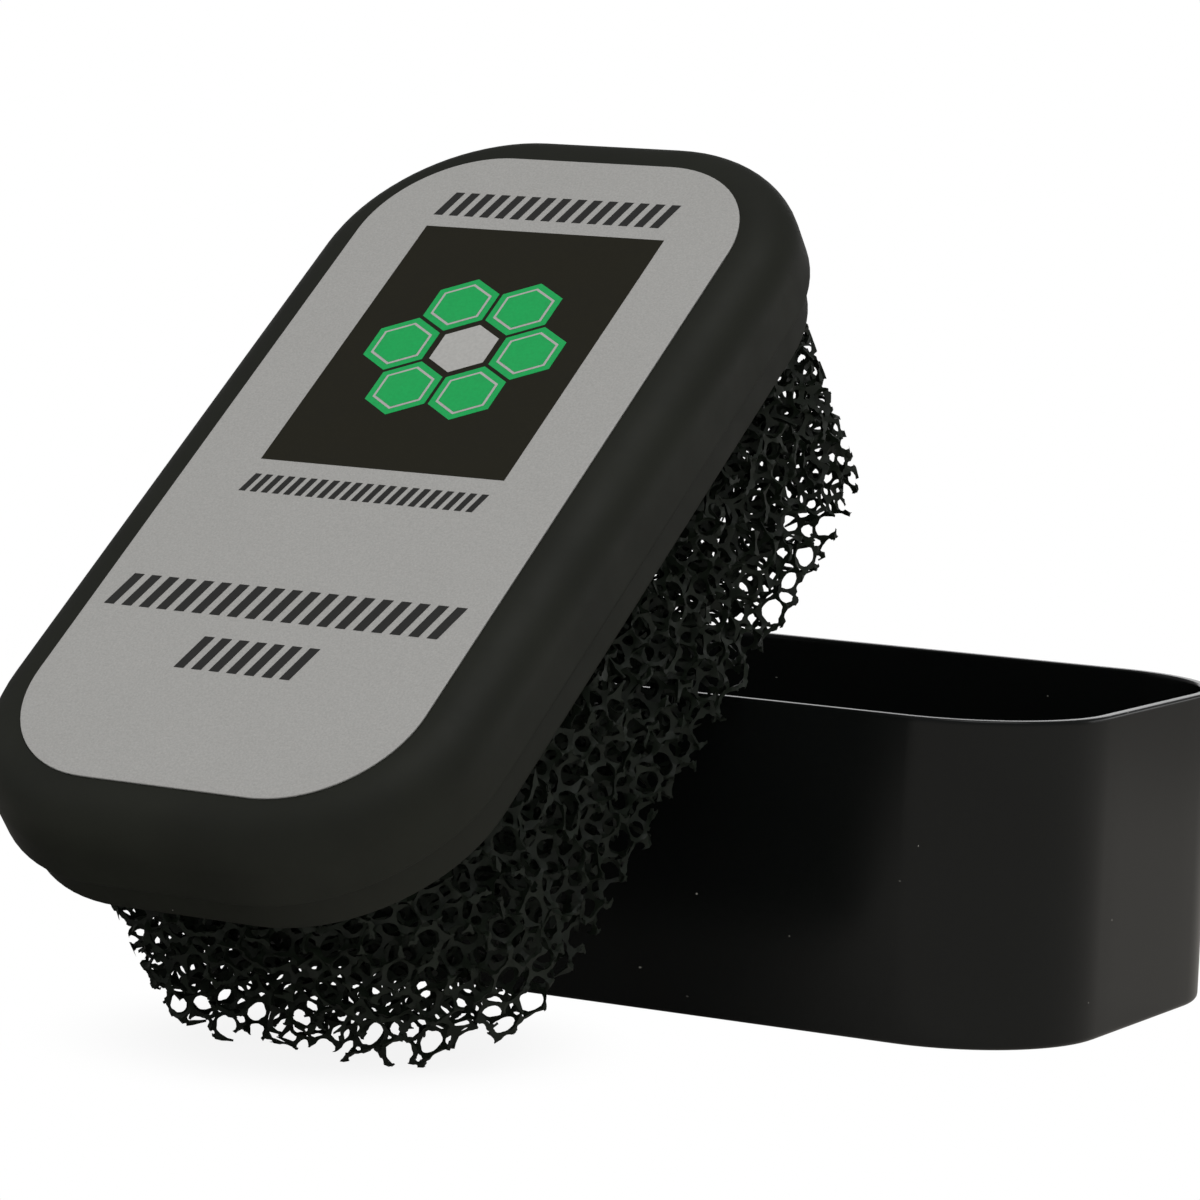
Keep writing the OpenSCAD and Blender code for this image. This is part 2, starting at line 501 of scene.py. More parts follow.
# Cells worked through at a time
BATCH = 200
# The lattice of cells stands past the block by this share of the spacing, and at a slant
LATTICE_MARGIN = 1.7
LATTICE_SLANT = (0.4, 0.3, 0.5)
# Least distance of two cells, as a share of their spacing, and the share of a lack of it
# that each of the rounds makes up, with neighbours looked up again now and then
LEAST_DISTANCE = 0.86
PUSH_SHARE = 0.3
PUSH_ROUNDS = 24
LOOK_UP_EVERY = 6
# Rounds in which surface tension evens the struts out, and a corner's share of each move
EVENING_ROUNDS = 8
EVENING_SHARE = 0.5


def cell_seeds(low, high, spacing, disorder, rng):
    """Centres of the cells: a lattice at a slant to the block, scattered, then pushed apart
    like balls of one size packed in a bag."""
    low = np.array(low) - LATTICE_MARGIN * spacing
    high = np.array(high) + LATTICE_MARGIN * spacing
    middle = (low + high) / 2
    count = int(np.ceil(np.linalg.norm(high - low) / spacing / 2))
    grid = np.stack(np.meshgrid(*[np.arange(-count, count)] * 3, indexing="ij"), -1)
    grid = grid.reshape(-1, 3).astype(float)
    slant = np.array(Euler(LATTICE_SLANT).to_matrix())
    places = np.concatenate([grid, grid + 0.5]) * spacing @ slant.T + middle
    places = places[((places > low) & (places < high)).all(1)]
    places = places + rng.normal(0, disorder * spacing, places.shape)
    for turn in range(PUSH_ROUNDS):
        if turn % LOOK_UP_EVERY == 0:
            near = nearest_cells(places)[:, :PUSHING]
        gaps = places[:, None] - places[near]
        far = np.linalg.norm(gaps, axis=-1, keepdims=True)
        push = np.maximum(LEAST_DISTANCE * spacing - far, 0) / np.maximum(far, 1e-6) * gaps
        places = places + PUSH_SHARE * push.sum(1)
    return places


def nearest_cells(places):
    """Indices of each cell's nearest neighbours, nearest first."""
    found = np.empty((len(places), NEAREST), np.int64)
    for start in range(0, len(places), BATCH):
        some = places[start:start + BATCH]
        square = ((some[:, None, :] - places[None]) ** 2).sum(-1)
        part = np.argpartition(square, NEAREST + 1, axis=1)[:, :NEAREST + 1]
        order = np.argsort(np.take_along_axis(square, part, 1), axis=1)
        found[start:start + BATCH] = np.take_along_axis(part, order, 1)[:, 1:]
    return found


def cell_corners(places):
    """Points that lie equally near four cells and nearer no other, and those four cells."""
    near = nearest_cells(places)
    triples = np.array(list(combinations(range(NEAREST), 3)))
    corners = []
    owners = []
    for start in range(0, len(places), BATCH):
        ids = np.arange(start, min(start + BATCH, len(places)))
        choice = near[ids][:, triples]
        row, column = np.nonzero((choice > ids[:, None, None]).all(-1))
        others = choice[row, column]
        first = ids[row]
        origin = places[first]
        arms = places[others] - origin[:, None, :]
        half = 0.5 * (arms ** 2).sum(-1)
        cross = [np.cross(arms[:, (k + 1) % 3], arms[:, (k + 2) % 3]) for k in range(3)]
        volume = (arms[:, 0] * cross[0]).sum(-1)
        sound = np.abs(volume) > 1e-6
        volume = np.where(sound, volume, 1)
        centre = sum(half[:, k, None] * cross[k] for k in range(3)) / volume[:, None]
        rivals = places[near[first]] - origin[:, None, :]
        clear = (rivals ** 2).sum(-1) - 2 * (rivals * centre[:, None, :]).sum(-1) > -1e-7
        sound &= clear.all(-1)
        corners.append(centre[sound] + origin[sound])
        owners.append(np.sort(np.concatenate([first[sound, None], others[sound]], 1), 1))
    return np.concatenate(corners), np.concatenate(owners)


def cell_edges(owners):
    """Struts: pairs of corners that share three cells, with the arm of each corner used."""
    count = len(owners)
    shared = np.concatenate([np.delete(owners, arm, 1) for arm in range(4)])
    corner = np.tile(np.arange(count), 4)
    arm = np.repeat(np.arange(4), count)
    key = (shared[:, 0] << 42) | (shared[:, 1] << 21) | shared[:, 2]
    order = np.argsort(key, kind="stable")
    same = np.nonzero(key[order][1:] == key[order][:-1])[0]
    one, two = order[same], order[same + 1]
    return corner[one], arm[one], corner[two], arm[two]


def even_out(corners, struts):
    """Moves each corner with its four struts towards its neighbours' middle, round by round."""
    v, _, w, _ = struts
    for _ in range(EVENING_ROUNDS):
        total = np.zeros_like(corners)
        number = np.zeros(len(corners))
        np.add.at(total, v, corners[w])
        np.add.at(total, w, corners[v])
        np.add.at(number, v, 1)
        np.add.at(number, w, 1)
        full = number >= 4
        corners[full] += EVENING_SHARE * (total[full] / number[full, None] - corners[full])


def unit(vectors):
    """Vectors made one long."""
    return vectors / np.maximum(np.linalg.norm(vectors, axis=-1, keepdims=True), 1e-9)


class FoamBlock:
    """The block that the foam fills, with its bulge, in the brush's own axes and in mm."""

    def __init__(self, f, m):
        case_l, case_w, _ = case_size()
        hollow = m.case_wall + m.plug_clearance + m.plug_wall
        self.half_l = case_l / 2 - hollow - f.end_gap
        self.near = -(case_w / 2 - hollow - f.near_gap)
        self.near_bulge = self.near - f.bulge
        self.far = case_w / 2 - hollow - f.far_gap
        self.radius = m.handle_corner_r - hollow - f.end_gap
        self.top = -(m.handle_top + f.glue_t)
        self.bottom = self.top - f.thickness
        self.bulge_top = -(m.handle_h + m.plug_depth + f.bulge_drop)

    def box(self):
        """Lowest and highest corner."""
        return ((-self.half_l, self.near_bulge, self.bottom), (self.half_l, self.far, self.top))

    def part_depth(self, points, near, ceiling):
        """Depth of points inside the block up to one near side and one top: positive inside."""
        middle = (0, (self.far + near) / 2)
        half = (self.half_l - self.radius, (self.far - near) / 2 - self.radius)
        q = np.abs(points[:, :2] - middle) - half
        outside = np.linalg.norm(np.maximum(q, 0), axis=1) + np.minimum(q.max(1), 0) - self.radius
        height = points[:, 2]
        return np.minimum(-outside, np.minimum(height - self.bottom, ceiling - height))

    def depth(self, points):
        """Depth of points inside the whole block: positive inside."""
        return np.maximum(self.part_depth(points, self.near, self.top),
                          self.part_depth(points, self.near_bulge, self.bulge_top))

    def held(self, points, margin):
        """Points moved into the block, with a margin to its faces."""
        near = np.where(points[:, 2] < self.bulge_top, self.near_bulge, self.near)
        middle = np.stack([np.zeros(len(points)), (self.far + near) / 2], 1)
        half = np.stack([np.full(len(points), self.half_l), (self.far - near) / 2], 1) - self.radius
        plan = points[:, :2] - middle
        core = np.clip(plan, -half, half)
        arm = plan - core
        reach = np.maximum(np.linalg.norm(arm, axis=1, keepdims=True), 1e-9)
        plan = middle + core + arm * np.minimum((self.radius - margin) / reach, 1)
        height = np.clip(points[:, 2], self.bottom + margin, self.top - margin)
        return np.column_stack([plan, height])


# A corner's four arms lead between its four cells. The film point of two cells lies between the
# arms of the other two, so each arm has a ring of three film points and each cell a web of three
PAIRS = list(combinations(range(4), 2))
RING_OF_ARM = np.array([[i for i, pair in enumerate(PAIRS) if arm not in pair] for arm in range(4)])
WEB_OF_CELL = np.array([[i for i, pair in enumerate(PAIRS) if cell in pair] for cell in range(4)])

# Shares of the tear's depth by which a corner may stand out and stay, or lie inside and go
TEAR_SPREAD = (-0.9, 0.7)
# Spread of the webs' reach, of a whole strut's waist, and of a cut strut's thickness and end
WEB_SPREAD = (0.85, 1.25)
WAIST_SPREAD = (0.8, 1.2)
STUB_SPREAD = (0.75, 1.1)
FLARE_SPREAD = (0.5, 1.3)
# Most that a web takes of its corner's second shortest strut, and the least that its reach is
# beside a strut's
WEB_MOST = 0.6
WEB_LEAST = 1.25
# Share of a web's reach at which its strut starts, and most that this takes of the strut
STRUT_START = 0.6
START_MOST = 0.4
# Places along a whole strut and its width there: waisted, so that the windows look round
WAISTED = ((0.25, 1.22), (0.5, 1.0), (0.75, 1.22))
# Sideways bow of a whole strut and bend of a cut strut's end, mm
BOW = 0.05
BEND = 0.13
# How far a cut strut stands past the knife's cut and the least depth that it is taken to cross, mm
CUT_PAST = 0.15
CUT_CROSSED = 0.1
# Least that a cut strut keeps of its length, and least length beside its web's reach
CUT_LEAST = 0.1
CUT_REACH = 0.8
# Place along a cut strut up to which it keeps its width
CUT_MIDDLE = 0.65
# Share of the cut struts that are torn off short, and what these keep
TORN_SHARE = 0.3
TORN_LENGTH = 0.5


class StrutSkin:
    """The foam's skin: webs round each corner, and struts of three ridges between them."""

    def __init__(self, corners, struts, depth, rng, f):
        v, v_arm, w, w_arm = struts
        count = len(corners)
        self.corners, self.struts, self.depth, self.rng, self.f = corners, struts, depth, rng, f
        self.inside = depth > rng.uniform(*TEAR_SPREAD, count) * f.tear
        # Unit direction and length of each corner's four arms
        along = corners[w] - corners[v]
        self.length = np.linalg.norm(along, axis=1)
        self.along = unit(along)
        arms = np.zeros((count, 4, 3))
        arms[v, v_arm] = self.along
        arms[w, w_arm] = -self.along
        lengths = np.full((count, 4), np.inf)
        lengths[v, v_arm] = self.length
        lengths[w, w_arm] = self.length
        missing = np.linalg.norm(arms, axis=-1) < 0.5
        self.arms = np.where(missing[..., None], -unit(arms.sum(1))[:, None, :], arms)
        reach = f.web_r * rng.uniform(*WEB_SPREAD, count)
        reach = np.minimum(reach, WEB_MOST * np.sort(lengths, axis=1)[:, 1])
        self.reach = np.maximum(reach, WEB_LEAST * f.strut_r)
        films = np.empty((count, len(PAIRS), 3))
        for index, pair in enumerate(PAIRS):
            c, d = [arm for arm in range(4) if arm not in pair]
            films[:, index] = corners + self.reach[:, None] * unit(self.arms[:, c] + self.arms[:, d])
        self.kept = np.nonzero(self.inside)[0]
        self.slot = np.full(count, -1)
        self.slot[self.kept] = np.arange(len(self.kept))
        self.films = films[self.kept].reshape(-1, 3)
        self.points = [self.films]
        self.triangles = []
        self.quads = []
        self.ridges = []

    def add_triangles(self, faces, way):
        """Adds triangles, turned so that their normals point the given way."""
        places = np.concatenate(self.points)
        a, b, c = (places[faces[:, k]] for k in range(3))
        wrong = (np.cross(b - a, c - a) * way).sum(-1) < 0
        self.triangles.append(np.where(wrong[:, None], faces[:, ::-1], faces))

    def web_ring(self, corner, arm):
        """Numbers of the three film points round a strut, where it leaves a corner."""
        return self.slot[corner][:, None] * len(PAIRS) + RING_OF_ARM[arm]

    def new_ring(self, middle, ridge, thick):
        """Adds a ring of three points round each strut and gives their numbers."""
        ring = sum(map(len, self.points)) + np.arange(len(middle) * 3).reshape(-1, 3)
        self.points.append((middle[:, None] + ridge * thick[:, None, None]).reshape(-1, 3))
        return ring

    def ridge_ways(self, ring, corner, axis):
        """Directions of the three ridges at a web, square to the strut."""
        ways = self.films[ring] - self.corners[corner][:, None]
        return ways - (ways * axis[:, None]).sum(-1, keepdims=True) * axis[:, None]

    def add_sides(self, rings, axis):
        """Adds the three sides between each two rings, and notes the ridges."""
        places = np.concatenate(self.points)
        a, b, c = (places[rings[0][:, k]] for k in range(3))
        turned = ((np.cross(b - a, c - a) * axis).sum(-1) < 0)[:, None]
        for low, high in zip(rings, rings[1:]):
            for k in range(3):
                n = (k + 1) % 3
                face = np.stack([low[:, k], low[:, n], high[:, n], high[:, k]], 1)
                self.quads.append(np.where(turned, face[:, ::-1], face))
                self.ridges.append(np.stack([low[:, k], high[:, k]], 1))

    def add_webs(self):
        """One web towards each cell at every corner."""
        for web in WEB_OF_CELL:
            faces = self.slot[self.kept][:, None] * len(PAIRS) + web
            self.add_triangles(faces, self.films[faces].mean(1) - self.corners[self.kept])

    def add_whole_struts(self):
        """Struts with both ends in the block, thinnest at the middle."""
        v, _, w, _ = self.struts
        both = self.inside[v] & self.inside[w]
        v, v_arm, w, w_arm = (part[both] for part in self.struts)
        axis, span = self.along[both], self.length[both]
        first, last = self.web_ring(v, v_arm), self.web_ring(w, w_arm)
        start = np.minimum(STRUT_START * self.reach[v] / span, START_MOST)
        end = 1 - np.minimum(STRUT_START * self.reach[w] / span, START_MOST)
        ridge = unit(self.ridge_ways(first, v, axis) + self.ridge_ways(last, w, axis))
        waist = self.f.strut_r * self.rng.uniform(*WAIST_SPREAD, len(v))
        bow = self.rng.normal(0, BOW, (len(v), 3))
        rings = [first]
        for t, wide in WAISTED:
            at = (start + (end - start) * t)[:, None]
            middle = self.corners[v] * (1 - at) + self.corners[w] * at + bow * (4 * at * (1 - at))
            rings.append(self.new_ring(middle, ridge, waist * wide))
        self.add_sides(rings + [last], axis)

    def add_cut_struts(self):
        """Struts that end at the knife's cut, some of them torn off short or bent over."""
        v, v_arm, w, w_arm = self.struts
        cut = self.inside[v] ^ self.inside[w]
        keeps_v = self.inside[v[cut]]
        inner = np.where(keeps_v, v[cut], w[cut])
        outer = np.where(keeps_v, w[cut], v[cut])
        arm = np.where(keeps_v, v_arm[cut], w_arm[cut])
        axis = np.where(keeps_v[:, None], self.along[cut], -self.along[cut])
        crossed = np.maximum(self.depth[inner] - self.depth[outer], CUT_CROSSED)
        share = np.clip((self.depth[inner] + CUT_PAST) / crossed, CUT_LEAST, 1)
        torn = self.rng.choice([TORN_LENGTH, 1], len(inner), p=[TORN_SHARE, 1 - TORN_SHARE])
        run = np.maximum(share * self.length[cut] * torn, CUT_REACH * self.reach[inner])
        first = self.web_ring(inner, arm)
        ridge = unit(self.ridge_ways(first, inner, axis))
        bend = self.rng.normal(0, BEND, (len(inner), 3))
        thick = self.f.strut_r * self.rng.uniform(*STUB_SPREAD, len(inner))
        flare = self.rng.uniform(*FLARE_SPREAD, len(inner))
        rings = [first]
        for t, wide in ((CUT_MIDDLE, 1.0), (1.0, flare)):
            middle = self.corners[inner] + axis * (run * t)[:, None] + bend * t * t
            rings.append(self.new_ring(middle, ridge, thick * wide))
        self.add_sides(rings, axis)
        self.add_triangles(rings[-1], axis)

    def close_lone_arms(self):
        """Closes the corners at the arms that lead nowhere."""
        v, v_arm, w, w_arm = self.struts
        used = np.zeros((len(self.corners), 4), bool)
        used[v, v_arm] = True
        used[w, w_arm] = True
        lone, arm = np.nonzero(self.inside[:, None] & ~used)
        self.add_triangles(self.web_ring(lone, arm), self.arms[lone, arm])


def sharpen(mesh, pairs):
    """Marks the edges between the given pairs of points as sharp."""
    ends = np.empty(len(mesh.edges) * 2, np.int32)
    mesh.edges.foreach_get("vertices", ends)
    edges = np.sort(ends.reshape(-1, 2), axis=1).astype(np.int64)
    pairs = np.sort(pairs, axis=1)
    count = len(mesh.vertices)
    sharp = np.isin(edges[:, 0] * count + edges[:, 1], pairs[:, 0] * count + pairs[:, 1])
    mesh.attributes.new("sharp_edge", "BOOLEAN", "EDGE").data.foreach_set("value", sharp)


def reticulated_foam(name):
    """The whole foam block, in the brush's own axes and in mm."""
    f = foam_settings()
    block = FoamBlock(f, moulding())
    rng = np.random.default_rng(f.seed)
    corners, owners = cell_corners(cell_seeds(*block.box(), f.cell, f.disorder, rng))
    struts = cell_edges(owners)
    even_out(corners, struts)
    # Corners just outside the block are drawn in to its faces, so that whole cells end there
    drawn = block.held(corners, f.strut_r)
    close = np.linalg.norm(drawn - corners, axis=1) < f.draw_in
    corners[close] = drawn[close]
    skin = StrutSkin(corners, struts, block.depth(corners), rng, f)
    skin.add_webs()
    skin.add_whole_struts()
    skin.add_cut_struts()
    skin.close_lone_arms()
    # The knife leaves no strut beyond the block's faces
    points = block.held(np.concatenate(skin.points), 0)
    mesh = mesh_from_arrays(name, points, [np.concatenate(skin.triangles), np.concatenate(skin.quads)])
    sharpen(mesh, np.concatenate(skin.ridges))
    return mesh


# Stage, in mm unless said otherwise

PICTURE = 1200
FLOOR_HALF = 3000
# The floor lies this far below the case, so that their faces don't coincide
FLOOR_DROP = 0.02
# Where the foam meets the ground, and the distances between which its soft shadow fades out
CONTACT = (-6.0, -50.0, 0.0)
SHADOW_FADE = (10.0, 26.0)
# Left to right over the floor, as the case's front mirrors it
ACROSS = (0.887, -0.461, 0.0)
# Brightness of the floor's painted reflection, which the mouldings mirror: painted shade on the floor
# in front of the case, where the brush would keep it dark, the open floor to its left and its right,
# and the floor behind, near and far
SHADED = 0.06
OPEN_LEFT = 0.3
OPEN_RIGHT = 0.33
BEHIND_NEAR = 0.32
BEHIND_FAR = 0.19
# Brightness of the surroundings, as light on the object and in its reflections
SURROUND_LIGHT = 0.85
SURROUND_MIRRORED = 0.15
# Soft boxes: name, place, target and size in metres, and power in watts
SOFT_BOXES = (
    ("main_box", (0.25, -0.2, 0.95), (0.0, -0.03, 0.03), (0.7, 0.7), 1.7),
    ("right_box", (0.6, 0.75, 0.14), (0.0, 0.0, 0.04), (0.6, 0.26), 0.45),
    ("left_box", (-0.9, -0.3, 0.7), (0.0, -0.03, 0.03), (0.6, 0.6), 0.3),
    ("back_box", (-0.5, 1.0, 0.22), (0.0, 0.0, 0.03), (0.9, 0.35), 0.85),
)


class SUEDE_OT_stage(bpy.types.Operator):
    """Sets the camera, the pale floor and the soft studio light"""
    bl_idname = "suede.stage"
    bl_label = "Stage"

    def execute(self, context):
        scene = context.scene
        scene.view_settings.view_transform = "Standard"
        self.camera(scene)
        self.floor()
        self.world(scene)
        self.lamps(scene)
        return {"FINISHED"}

    def camera(self, scene):
        """The camera, turned, dipped and rolled from a level view along +Y."""
        s = stage_settings()
        data = bpy.data.cameras.new("camera")
        data.sensor_width = 36
        data.lens = s.focal
        data.shift_x = (PICTURE / 2 - s.centre[0]) / PICTURE
        data.shift_y = (s.centre[1] - PICTURE / 2) / PICTURE
        data.clip_start = 0.01
        camera = bpy.data.objects.new("camera", data)
        turn = Matrix.Rotation(s.camera_turn, 4, "Z")
        dip = Matrix.Rotation(math.radians(90) - s.camera_dip, 4, "X")
        roll = Matrix.Rotation(-s.camera_roll, 4, "Z")
        camera.matrix_world = Matrix.Translation(Vector(s.camera_place) * MM) @ turn @ dip @ roll
        scene.collection.objects.link(camera)
        scene.camera = camera

    def floor(self):
        """A pale floor. The camera sees it as white paper with a soft shadow near the object.
        Reflections see a painted glow in its place, with painted shade in front, where the brush would
        keep the light off it."""
        material, tree, shader = new_material("pale_paper_floor")
        set_inputs(tree, shader, {
            "Base Color": hex_to_linear("#d8d8d8"), "Roughness": 0.9, "Specular IOR Level": 0.1})
        place = add_node(tree, "ShaderNodeTexCoord").outputs["Object"]
        away = add_node(tree, "ShaderNodeVectorMath", {
            0: place, 1: Vector(CONTACT) * MM}, operation="DISTANCE").outputs["Value"]
        white = add_node(tree, "ShaderNodeEmission", {"Color": (1, 1, 1, 1), "Strength": 1.0})
        paper = add_node(tree, "ShaderNodeBsdfDiffuse", {"Color": hex_to_linear("#fafafa")})
        seen = add_node(tree, "ShaderNodeMixShader", {
            0: self.fading(tree, away, SHADOW_FADE, 0.88, 1.0), 1: paper.outputs[0],
            2: white.outputs[0]})
        across = add_node(tree, "ShaderNodeVectorMath", {
            0: place, 1: ACROSS}, operation="DOT_PRODUCT").outputs["Value"]
        right = self.fading(tree, across, (20.0, 47.0), SHADED, OPEN_RIGHT)
        left = self.fading(tree, across, (-35.0, -8.0), OPEN_LEFT, SHADED)
        front = add_node(tree, "ShaderNodeMath", {0: left, 1: right}, operation="MAXIMUM")
        back = add_node(tree, "ShaderNodeSeparateXYZ", {0: place}).outputs["Y"]
        behind = self.fading(tree, back, (90.0, 200.0), BEHIND_NEAR, BEHIND_FAR)
        level = add_node(tree, "ShaderNodeMapRange", {
            "Value": back, "From Min": -10 * MM, "From Max": 10 * MM,
            "To Min": front.outputs[0], "To Max": behind}).outputs[0]
        # Painted reflection: the floor glows for reflected rays only, with painted shade in front of
        # the case
        painted_reflection = add_node(tree, "ShaderNodeEmission", {
            "Color": hex_to_linear("#fffaf2"), "Strength": level})
        path = add_node(tree, "ShaderNodeLightPath")
        glossy = add_node(tree, "ShaderNodeMixShader", {
            0: path.outputs["Is Glossy Ray"], 1: shader.outputs[0], 2: painted_reflection.outputs[0]})
        surface = add_node(tree, "ShaderNodeMixShader", {
            0: path.outputs["Is Camera Ray"], 1: glossy.outputs[0], 2: seen.outputs[0]})
        output = next(n for n in tree.nodes if n.type == "OUTPUT_MATERIAL")
        tree.links.new(surface.outputs[0], output.inputs["Surface"])
        mesh = bpy.data.meshes.new("floor")
        half = FLOOR_HALF * MM
        mesh.from_pydata([(-half, -half, 0), (half, -half, 0), (half, half, 0), (-half, half, 0)],
                         [], [(0, 1, 2, 3)])
        floor = new_object("floor", mesh, Matrix.Translation((0, 0, -FLOOR_DROP * MM)))
        mesh.materials.append(material)

    def fading(self, tree, value, ends, low, high):
        """A smooth step from low to high between two places, in mm."""
        return add_node(tree, "ShaderNodeMapRange", {
            "Value": value, "From Min": ends[0] * MM, "From Max": ends[1] * MM,
            "To Min": low, "To Max": high}, interpolation_type="SMOOTHSTEP").outputs[0]

    def world(self, scene):
        """White behind everything for the camera, dimmer as light and dimmest in reflections."""
        world = bpy.data.worlds.new("studio")
        world.use_nodes = True
        tree = world.node_tree
        tree.nodes.clear()
        path = add_node(tree, "ShaderNodeLightPath")
        light = add_node(tree, "ShaderNodeMapRange", {
            "Value": path.outputs["Is Glossy Ray"], "To Min": SURROUND_LIGHT,
            "To Max": SURROUND_MIRRORED})
        level = add_node(tree, "ShaderNodeMapRange", {
            "Value": path.outputs["Is Camera Ray"], "To Min": light.outputs[0], "To Max": 1.0})
        back = add_node(tree, "ShaderNodeBackground", {
            "Color": (1, 1, 1, 1), "Strength": level.outputs[0]})
        add_node(tree, "ShaderNodeOutputWorld", {"Surface": back.outputs[0]})
        scene.world = world

    def lamps(self, scene):
        """Large soft boxes: a main one above, a weak one at the left, and two low behind, which
        draw a bright line along the case's rim."""
        for name, place, target, (width, height), watts in SOFT_BOXES:
            data = bpy.data.lights.new(name, "AREA")
            data.shape = "RECTANGLE"
            data.size, data.size_y = width, height
            data.energy = watts
            lamp = bpy.data.objects.new(name, data)
            aim = (Vector(target) - Vector(place)).to_track_quat("-Z", "Y")
            lamp.matrix_world = Matrix.Translation(place) @ aim.to_matrix().to_4x4()
            scene.collection.objects.link(lamp)


class SUEDE_OT_case(bpy.types.Operator):
    """Builds the thin-walled case with its broken edges"""
    bl_idname = "suede.case"
    bl_label = "Case"

    def execute(self, context):
        m = moulding()
        length, width, height = case_size()
        wall, edge, fillet, b = m.case_wall, m.case_edge_r, m.case_fillet_r, m.break_r
        section = [(edge + HOLD, 0), (edge, 0)]
        section += arc(edge, edge, edge, 270, 180, 6)[1:]
        section += [(0, edge + SIDE_HOLD), (0, height - b - HOLD)]
        section += arc(b, height - b, b, 180, 90, 4)
        section += arc(wall - b, height - b, b, 90, 0, 4)
        section += [(wall, height - b - HOLD), (wall, m.case_floor + fillet + HOLD)]
        section += arc(wall + fillet, m.case_floor + fillet, fillet, 180, 270, 5)
        section += [(wall + fillet + HOLD, m.case_floor)]
        mesh = swept_mesh("case_shell", length, width, m.case_corner_r, section)
        shell = new_object("case_shell", mesh, Matrix.Scale(MM, 4))
        mesh.materials.append(case_plastic())
        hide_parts("case")
        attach(shell, "case")
        return {"FINISHED"}


class SUEDE_OT_handle(bpy.types.Operator):
    """Builds the hollow handle: round top edge, rim, plug and hollow"""
    bl_idname = "suede.handle"
    bl_label = "Handle"

    def execute(self, context):
        m = moulding()
        length, width, _ = case_size()
        edge, b = m.handle_edge_r, m.break_r
        plug = m.case_wall + m.plug_clearance
        hollow = plug + m.plug_wall
        foot = -m.handle_h
        end = foot - m.plug_depth
        ceiling = -m.handle_top
        # The first ring lies at the label's long edges
        section = [(edge + label_settings().side_margin, 0), (edge, 0)]
        section += arc(edge, -edge, edge, 90, 180, 12)[1:]
        section += [(0, -edge - SIDE_HOLD), (0, foot + b + HOLD)]
        section += arc(b, foot + b, b, 180, 270, 4)
        section += [(plug - CREASE, foot), (plug, foot - CREASE)]
        section += [(plug, foot - SIDE_HOLD), (plug, end + b + HOLD)]
        section += arc(plug + b, end + b, b, 180, 270, 4)
        section += arc(hollow - b, end + b, b, 270, 360, 4)
        section += [(hollow, end + b + HOLD), (hollow, ceiling - HOLLOW_ROUND)]
        section += [(hollow + 2 * CREASE, ceiling - CREASE), (hollow + HOLLOW_ROUND, ceiling)]
        mesh = swept_mesh("handle_shell", length, width, m.handle_corner_r, section)
        shell = new_object("handle_shell", mesh, leaning())
        mesh.materials.append(handle_plastic())
        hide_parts("handle")
        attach(shell, "brush")
        return {"FINISHED"}


# Rounding of the label's cut edge, mm
LABEL_EDGE_R = 0.05
# Spacing of the badge's cells, compared with cells that touch, and the outlines of each cell's
# line, its heart and the bare cell in the middle, compared with a whole cell
CELL_SPACING = 1.06
CELL_LINE = 0.80
CELL_HEART = 0.72
CELL_BARE = 0.9
# Rows of strokes, in mm: place along the label, stroke height, row width, and number of strokes
STROKE_ROWS = ((31.3, 3.0, 22.6, 15), (-4.3, 2.1, 22.6, 21), (-17.6, 3.6, 32.0, 19),
               (-23.6, 3.6, 11.5, 7))
# A stroke's slant as a share of its height, and its thickness as a share of their spacing
STROKE_SLANT = 0.25
STROKE_THICKNESS = 0.56


def six_round(x, y, radius, start=0):
    """Six points spaced round a middle, the first at this angle in degrees."""
    angles = [math.radians(start + 60 * k) for k in range(6)]
    return [(x + radius * math.cos(a), y + radius * math.sin(a)) for a in angles]


